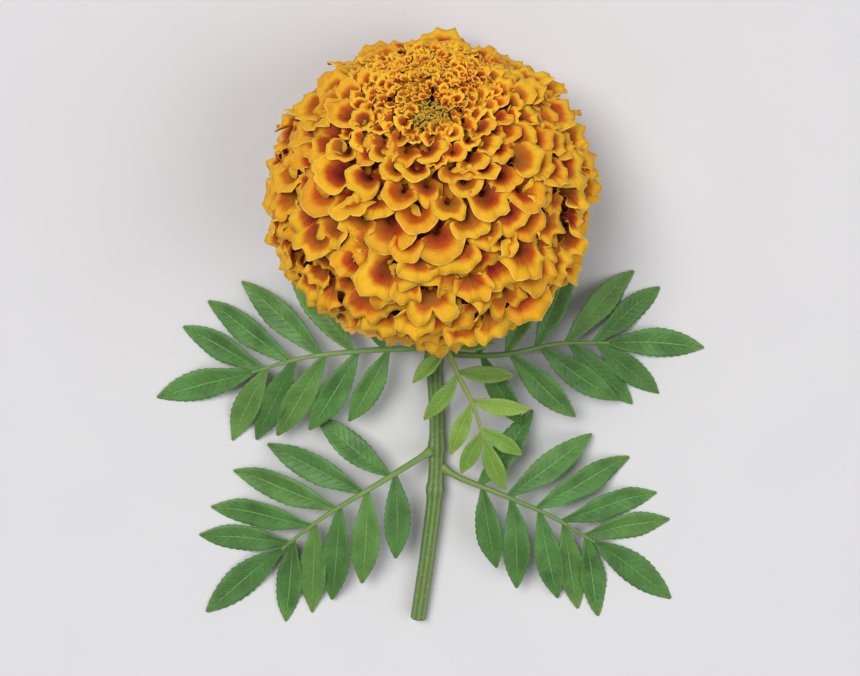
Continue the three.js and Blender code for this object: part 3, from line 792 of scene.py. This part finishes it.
def make_buds(colours):
    """The knot at the crown: half-open florets that curl in a little below the rays, and pointed unopened
    buds that lean outwards between them, each on a golden-angle disc.

    A bud's radius is sin(pi * u^0.7)^0.8 times its widest, and its tip bends inwards as u^3.
    """
    shell = Shell()
    florets, first = 46, 500
    number = first + np.arange(florets)
    angle = 0.135 * np.sqrt((number - first + 0.5) / florets)
    places = angle, number * GOLDEN_ANGLE, 1.5 + 0.6 * draw(number, 1), number
    middle, u, _, _ = ray_surfaces(places, EYE_STYLE)
    tone = draw(number, 20)[:, None, None]
    shell.add_sheets(from_head(middle), 0.25, along=0.2 + 0.8 * u, tone=tone)

    buds = 80
    number = np.arange(buds)
    out = 5.8 * np.sqrt((number + 0.5) / buds)
    turn = number * GOLDEN_ANGLE
    u = np.linspace(0.02, 0.985, 10)[None, :, None]
    around = np.linspace(0, 2 * np.pi, 8, endpoint=False)[None, None, :]
    wide = (0.45 + 0.35 * draw(number, 1))[:, None, None]
    tall = (6.4 + 1.8 * draw(number, 2))[:, None, None]
    radius = wide * np.sin(np.pi * u**0.7) ** 0.8
    lean = (0.045 * out * (0.6 + 0.8 * draw(number, 3)))[:, None, None]
    bend = 1.4 * (draw(number, 4)[:, None, None] - 0.5) * u**3
    foot = out[:, None, None]
    radial, side = (v[:, None, None] for v in spokes(turn))
    x = foot + tall * u * lean * 0.7 - 0.8 * u**3 + radius * np.cos(around)
    y = bend + radius * np.sin(around)
    z = (EYE_FLOOR - 0.5 + tall * u - 0.12 * foot) * np.ones_like(around)
    points = radial * x[..., None] + side * y[..., None] + UP * z[..., None]
    shell.add_tubes(from_head(points), along=u, tone=draw(number, 5)[:, None, None])
    shell.finish("crown_bud_knot", bud_look(colours), "crown_buds")


# Cup and stem


def cup_radius(share):
    """Round, then straight: STEM_TOP_RADIUS + CUP_SWELL * sin(quarter turn * 1.6 share)^0.7 + share / 2."""
    swell = np.sin(np.pi / 2 * np.minimum(1, share * 1.6)) ** 0.7
    return STEM_TOP_RADIUS + CUP_SWELL * swell + 0.5 * share


def cup_height(share, phase):
    """Even up to the rim, where each tooth rises by CUP_TOOTH * ((1 + cos(8 turn)) / 2)^1.4.

    The teeth start at a share of 0.8, and are eased in as ((share - 0.8) / 0.2)^1.5.
    """
    tooth = CUP_TOOTH * (0.5 + 0.5 * phase) ** 1.4 * np.clip((share - 0.8) / 0.2, 0, 1) ** 1.5
    return CUP_BASE + (CUP_RIM - CUP_BASE) * share + tooth


def make_cup(colours):
    """The green cup: an outer wall with eight soft ribs that end in pointed teeth, and an inner wall.

    Above its base, the outer wall's radius is cup_radius times
    1 + 0.035 * cos(8 turn) + 0.006 * cos(24 turn).
    """
    turn = np.linspace(0, 2 * np.pi, 128, endpoint=False)[None, :]
    phase = np.cos(CUP_TEETH * turn)
    share = np.linspace(0, 1, 30)[:, None] ** 1.3
    back = share[::-1][:18]
    ribbed = 1 + np.minimum(1, share * 12) * (0.035 * phase + 0.006 * np.cos(3 * CUP_TEETH * turn))
    outer = cup_radius(share) * ribbed
    wall = CUP_WALL * (0.5 + 0.5 * np.clip((1 - back) * 8, 0, 1))
    inner = (cup_radius(back) - wall) * np.ones_like(phase)
    radius = np.concatenate([outer, inner])
    z = np.concatenate([cup_height(share, phase), cup_height(back, phase) - 0.15])
    rings = np.stack([radius * np.cos(turn), radius * np.sin(turn), z], axis=-1)
    shell = Shell()
    shell.add_tubes(from_head(rings)[None], around=(turn / (2 * np.pi))[None])
    look = green_look("cup_green", colours.stem, shade(colours.stem, 0.55), (0.25, 0.2, 0.06), CUP_TEETH)
    shell.finish("cup_skin", look, "green_cup")


def stem_line(count):
    """The stem's middle line: from the cup's foot 5 mm down the bloom's axis, then along its route."""
    top = from_head(np.array([0.0, 0.0, CUP_BASE - GAP]))
    return smooth_route([top, top - 5 * HEAD_AXIS, *STEM_ROUTE], count)


def stem_radius(t):
    """STEM_RADIUS, a neck that fades as e^-(t / 0.16)^2, and a swelling at each node.

    A node's swelling is STEM_NODE * e^-((t - at) / 0.018)^2, and the neck is STEM_TOP_RADIUS at its top.
    """
    neck = (STEM_TOP_RADIUS - STEM_RADIUS) * np.exp(-((t / 0.16) ** 2))
    return STEM_RADIUS + neck + sum(STEM_NODE * np.exp(-(((t - at) / 0.018) ** 2)) for at in STEM_NODES_AT)


def make_stem(colours):
    """The ribbed stem along its route, with a flat cut end whose rings shrink inwards and show the pith."""
    t = np.linspace(0, 1, 200)
    line = stem_line(len(t))
    rings = stalk_rings(line, stem_radius(t), STEM_SIDES, rib=0.035, ribs=STEM_RIBS)
    cuts = [line[-1] + (rings[-1] - line[-1]) * k for k in (0.97, 0.8, 0.55, 0.25)]
    rings = np.concatenate([rings, np.stack(cuts)])
    pith = np.concatenate([np.zeros(len(t)), [0.3, 1, 1, 1]])[None, :, None]
    around = np.linspace(0, 1, STEM_SIDES, endpoint=False)[None, None, :]
    shell = Shell()
    shell.add_tubes(rings[None], pith=pith, around=around)
    look = green_look("stem_green", colours.stem, shade(colours.stem, 0.6), (0.3, 0.12, 0.06), STEM_RIBS)
    shell.finish("stem_skin", look, "stem")


# Leaves


def leaflet_places(leaf):
    """Each leaflet's share along the rib, side, turn, length, half width and droop, the end one last.

    A pair's size is 0.62 + 0.38 * sin(pi * (0.2 + 0.55 * share)), and it turns from the rib by
    1.12 - 0.42 * share, in radians.
    """
    rows = []
    for pair in range(leaf.pairs):
        share = pair / (leaf.pairs - 1)
        size = 0.62 + 0.38 * math.sin(math.pi * (0.2 + 0.55 * share))
        for side in (-1, 1):
            at = 0.27 + 0.65 * share + 0.012 * side
            turn = 1.12 - 0.42 * share
            rows.append((at, side, turn, leaf.longest * size, leaf.half * (0.7 + 0.3 * size), 0.28))
    rows.append((0.985, 1, 0.0, leaf.longest * 1.05, leaf.half * 1.1, 0.2))
    return np.array(rows).T


def add_leaflets(shell, leaf, seed):
    """Leaflets: pointed blades folded up along their ribs, drooping to the tip, with toothed, wavy edges.

    The half width at share u is half * sin(pi * (0.035 + 0.95 u^1.15))^0.9, times a saw of LEAF_TEETH that
    point forward. The height across is fold * |w| * width, a wave cos(2 pi 2.3 u) at the edge, a quilting
    between the side veins of cos(2 pi (LEAF_TEETH * u - 1.6 |w|)), and the droop u^2. The blade bends
    sideways as u^2.
    """
    at, side, turn, length, half, droop = leaflet_places(leaf)
    root, tangent = along_route(leaf.route, 400, at)
    up = unit(UP - tangent[:, 2:3] * tangent)
    up = rotated(up, tangent, leaf.lean)
    sideways = np.cross(tangent, up) * side[:, None]
    along = tangent * np.cos(turn)[:, None] + sideways * np.sin(turn)[:, None]
    across = unit(np.cross(up, along))
    number = seed + np.arange(len(at))
    root, along, up, across = (v[:, None, None] for v in (root, along, up, across))
    length, half, droop = (v[:, None, None] for v in (length, half, droop))
    u = np.linspace(0, 1, 79)[None, :, None]
    w = np.linspace(-1, 1, 9)[None, None, :]
    saw = (u * LEAF_TEETH + 0.15) % 1.0
    teeth = 1 + 0.09 * (saw**1.3 - 0.45) * np.clip(u * 6, 0, 1)
    width = half * np.sin(np.pi * (0.035 + 0.95 * u**1.15)) ** 0.9 * (1 + (teeth - 1) * np.abs(w) ** 3)
    phase = 6.3 * draw(number, 2)[:, None, None]
    height = LEAF_FOLD * np.abs(w) * width
    height += 0.1 * half * w**2 * np.cos(2 * np.pi * 2.3 * u + phase + 1.2 * np.sign(w))
    quilt = np.cos(2 * np.pi * (LEAF_TEETH * u - 1.6 * np.abs(w)))
    height += 0.06 * quilt * (1 - np.abs(w)) * np.abs(w) * 4
    bend = (draw(number, 3)[:, None, None] - 0.5) * 0.16 * length * u**2
    middle = root + along * (length * u)[..., None] + across * (w * width + bend)[..., None]
    middle = middle + up * height[..., None]
    middle[..., 2] = eased(middle[..., 2] - (droop * length * u * u), 0.45, 1.2)
    tone = draw(number, 4)[:, None, None]
    shell.add_sheets(middle, BLADE_THICKNESS, along=u, across=w, tone=tone)


def add_rib(shell, leaf):
    """The leaf's rib: a stalk that thins to 0.45 of its radius, swells by e^-(t / 0.035)^2 at its foot, and
    starts just within the stem's skin.
    """
    line = smooth_route(leaf.route, 130)
    stem = stem_line(400)
    clear = np.linalg.norm(line[:, None] - stem[None], axis=2).min(axis=1) > STEM_RADIUS - 0.6
    line = line[np.argmax(clear) :]
    t = np.linspace(0, 1, len(line))
    radius = RIB_RADIUS * (1 - 0.55 * t) * (1 + 0.6 * np.exp(-((t / 0.035) ** 2)))
    rings = stalk_rings(line, radius, 14, rib=0.08, ribs=3)
    shell.add_tubes(rings[None], stalk=1.0, face=1.0, tone=0.0)


def make_leaves(colours):
    """Every leaf as one piece: its rib and its leaflets. The young one is brighter."""
    light, young = colours.leaf, colours.young_leaf
    grown = leaf_look("leaf_skin", light, shade(light, 0.5), shade(light, 1.15), (0.17, 0.3, 0.06))
    fresh = leaf_look("young_leaf_skin", young, shade(young, 0.7), shade(young, 1.1), (0.42, 0.45, 0.08))
    for number, leaf in enumerate(LEAVES):
        shell = Shell()
        add_leaflets(shell, leaf, seed=50 * number)
        add_rib(shell, leaf)
        look, slot = (fresh, "young_leaf") if leaf.name == "leaf_young" else (grown, "leaves")
        shell.finish(leaf.name + "_skin", look, leaf.name)


# Stage


def make_floor():
    """A plain pale floor, wide enough to fill every view."""
    mesh = bpy.data.meshes.new("floor")
    far = 3.0
    mesh.from_pydata([(-far, -far, 0), (far, -far, 0), (far, far, 0), (-far, far, 0)], [], [(0, 1, 2, 3)])
    floor = bpy.data.objects.new("floor", mesh)
    bpy.context.scene.collection.objects.link(floor)
    look = Look("pale_paper", Roughness=0.9, Specular_IOR_Level=0.1)
    look.drive("Base Color", look.mix(look.noise(30.0), (0.62, 0.62, 0.645), (0.66, 0.66, 0.68)))
    mesh.materials.append(look.material)


def make_light(name, place, angle, strength, colour):
    """A broad, soft light that shines from a place to the middle, from so far that the floor is even."""
    data = bpy.data.lights.new(name, "SUN")
    data.angle = angle
    data.energy = strength
    data.color = colour
    light = bpy.data.objects.new(name, data)
    light.location = place
    light.rotation_euler = Vector(place).to_track_quat("Z", "Y").to_euler()
    bpy.context.scene.collection.objects.link(light)


def make_lights(strength):
    """A key light from the left, a weaker and broader one from the right, and a pale even sky."""
    make_light("key", (-0.35, 0.47, 1.02), math.radians(28), 2.35 * strength, (1.0, 0.98, 0.95))
    make_light("fill", (0.8, -0.03, 0.97), math.radians(44), 1.0 * strength, (0.97, 0.98, 1.0))
    world = bpy.context.scene.world or bpy.data.worlds.new("studio")
    bpy.context.scene.world = world
    world.use_nodes = True
    world.node_tree.nodes["Background"].inputs["Color"].default_value = (0.96, 0.95, 0.94, 1)
    world.node_tree.nodes["Background"].inputs["Strength"].default_value = 0.31 * strength


def make_camera(elevation, distance, lens):
    """Above the flower and a little past it, on the face's side, with +Y up in the picture: the bloom is
    then seen from the same angle off its axis as in the photograph.
    """
    data = bpy.data.cameras.new("camera")
    data.lens = lens
    data.sensor_width = 36.0
    camera = bpy.data.objects.new("camera", data)
    towards = Vector((0, math.cos(elevation), math.sin(elevation)))
    up = Vector((0, math.sin(elevation), -math.cos(elevation)))
    target = Vector((0.0, 0.003, 0.02))
    turn = Matrix((Vector((1, 0, 0)), up, towards)).transposed().to_4x4()
    camera.matrix_world = Matrix.Translation(target + towards * distance) @ turn
    bpy.context.scene.collection.objects.link(camera)
    bpy.context.scene.camera = camera


# Settings, operators and panel


def length_setting(name, description, default):
    return bpy.props.FloatProperty(
        name=name, description=description, default=default, subtype="DISTANCE", unit="LENGTH"
    )


def colour_setting(name, description, default):
    return bpy.props.FloatVectorProperty(
        name=name, description=description, default=default, subtype="COLOR", size=3, min=0.0, max=1.0
    )


class MarigoldSizes(bpy.types.PropertyGroup):
    smallest: length_setting("Smallest petal", "How far apart the petals stand round the eye", 1.9 * MM)
    widest: length_setting("Widest petal", "How far apart the petals stand on the flanks", 6.7 * MM)
    thickness: length_setting("Petal thickness", "How thick a petal is at its foot", 0.28 * MM)


class MarigoldColours(bpy.types.PropertyGroup):
    # throat and flush are partly painted shade, in the funnels, under the lips, on the inner rays and bases;
    # rim is partly a painted highlight
    throat: colour_setting("Throat", "Deep inside a petal's funnel", (0.2, 0.018, 0.012))
    flush: colour_setting("Flush", "Round the throat and on a petal's back", (0.44, 0.06, 0.006))
    lip: colour_setting("Lip", "The broad face of a petal", (0.8, 0.432, 0.02))
    rim: colour_setting("Rim", "The thin edge of a petal", (0.95, 0.58, 0.13))
    bud: colour_setting("Bud", "Unopened buds at the crown", (0.3, 0.18, 0.02))
    stem: colour_setting("Stem", "Stem and cup", (0.16, 0.28, 0.08))
    leaf: colour_setting("Leaf", "Grown leaves", (0.092, 0.236, 0.054))
    young_leaf: colour_setting("Young leaf", "The small bright leaf", (0.2, 0.37, 0.06))


class MarigoldStage(bpy.types.PropertyGroup):
    elevation: bpy.props.FloatProperty(
        name="Camera elevation",
        description="Above the floor, from the side that the bloom faces",
        default=math.radians(75.5),
        subtype="ANGLE",
        unit="ROTATION",
    )
    distance: length_setting("Camera distance", "From the middle of the flower", 0.75)
    lens: bpy.props.FloatProperty(
        name="Lens", description="Focal length of the camera in millimetres", default=108.0, unit="CAMERA"
    )
    strength: bpy.props.FloatProperty(
        name="Light", description="Strength of all lights together", default=1.0, subtype="FACTOR"
    )


class MARIGOLD_OT_petals(bpy.types.Operator):
    """Make the bloom's rays, from the crown to its underside, and the crowded bases between them"""

    bl_idname = "marigold.petals"
    bl_label = "Petals"

    def execute(self, context):
        sizes, colours = context.scene.marigold_sizes, context.scene.marigold_colours
        make_core(colours)
        make_rays(sizes, colours)
        make_under_rays(sizes, colours)
        return {"FINISHED"}


class MARIGOLD_OT_buds(bpy.types.Operator):
    """Make the knot of unopened buds at the crown"""

    bl_idname = "marigold.buds"
    bl_label = "Crown buds"

    def execute(self, context):
        make_buds(context.scene.marigold_colours)
        return {"FINISHED"}


class MARIGOLD_OT_cup(bpy.types.Operator):
    """Make the green cup under the bloom"""

    bl_idname = "marigold.cup"
    bl_label = "Green cup"

    def execute(self, context):
        make_cup(context.scene.marigold_colours)
        return {"FINISHED"}


class MARIGOLD_OT_stem(bpy.types.Operator):
    """Make the ribbed stem with its cut end"""

    bl_idname = "marigold.stem"
    bl_label = "Stem"

    def execute(self, context):
        make_stem(context.scene.marigold_colours)
        return {"FINISHED"}


class MARIGOLD_OT_leaves(bpy.types.Operator):
    """Make the leaves with their toothed leaflets"""

    bl_idname = "marigold.leaves"
    bl_label = "Leaves"

    def execute(self, context):
        make_leaves(context.scene.marigold_colours)
        return {"FINISHED"}


class MARIGOLD_OT_stage(bpy.types.Operator):
    """Make the floor, the lights and the camera"""

    bl_idname = "marigold.stage"
    bl_label = "Stage"

    def execute(self, context):
        stage = context.scene.marigold_stage
        context.scene.view_settings.view_transform = "Standard"
        make_floor()
        make_lights(stage.strength)
        make_camera(stage.elevation, stage.distance, stage.lens)
        return {"FINISHED"}


OPERATORS = (
    MARIGOLD_OT_petals,
    MARIGOLD_OT_buds,
    MARIGOLD_OT_cup,
    MARIGOLD_OT_stem,
    MARIGOLD_OT_leaves,
    MARIGOLD_OT_stage,
)
SETTINGS = (
    ("marigold_sizes", MarigoldSizes),
    ("marigold_colours", MarigoldColours),
    ("marigold_stage", MarigoldStage),
)


class MARIGOLD_PT_panel(bpy.types.Panel):
    """Lists the flower's pieces and settings"""

    bl_label = "Marigold"
    bl_idname = "MARIGOLD_PT_panel"
    bl_space_type = "VIEW_3D"
    bl_region_type = "UI"
    bl_category = "Marigold"

    def draw(self, context):
        for name, group in SETTINGS:
            box = self.layout.box()
            for setting in group.__annotations__:
                box.prop(getattr(context.scene, name), setting)
        for operator in OPERATORS:
            self.layout.operator(operator.bl_idname)


def register():
    for name, group in SETTINGS:
        bpy.utils.register_class(group)
        setattr(bpy.types.Scene, name, bpy.props.PointerProperty(type=group))
    for operator in OPERATORS:
        bpy.utils.register_class(operator)
    bpy.utils.register_class(MARIGOLD_PT_panel)


def unregister():
    bpy.utils.unregister_class(MARIGOLD_PT_panel)
    for operator in reversed(OPERATORS):
        bpy.utils.unregister_class(operator)
    for name, group in reversed(SETTINGS):
        delattr(bpy.types.Scene, name)
        bpy.utils.unregister_class(group)


def main():
    register()
    bpy.ops.marigold.petals()
    bpy.ops.marigold.buds()
    bpy.ops.marigold.cup()
    bpy.ops.marigold.stem()
    bpy.ops.marigold.leaves()
    bpy.ops.marigold.stage()


if __name__ == "__main__":
    main()
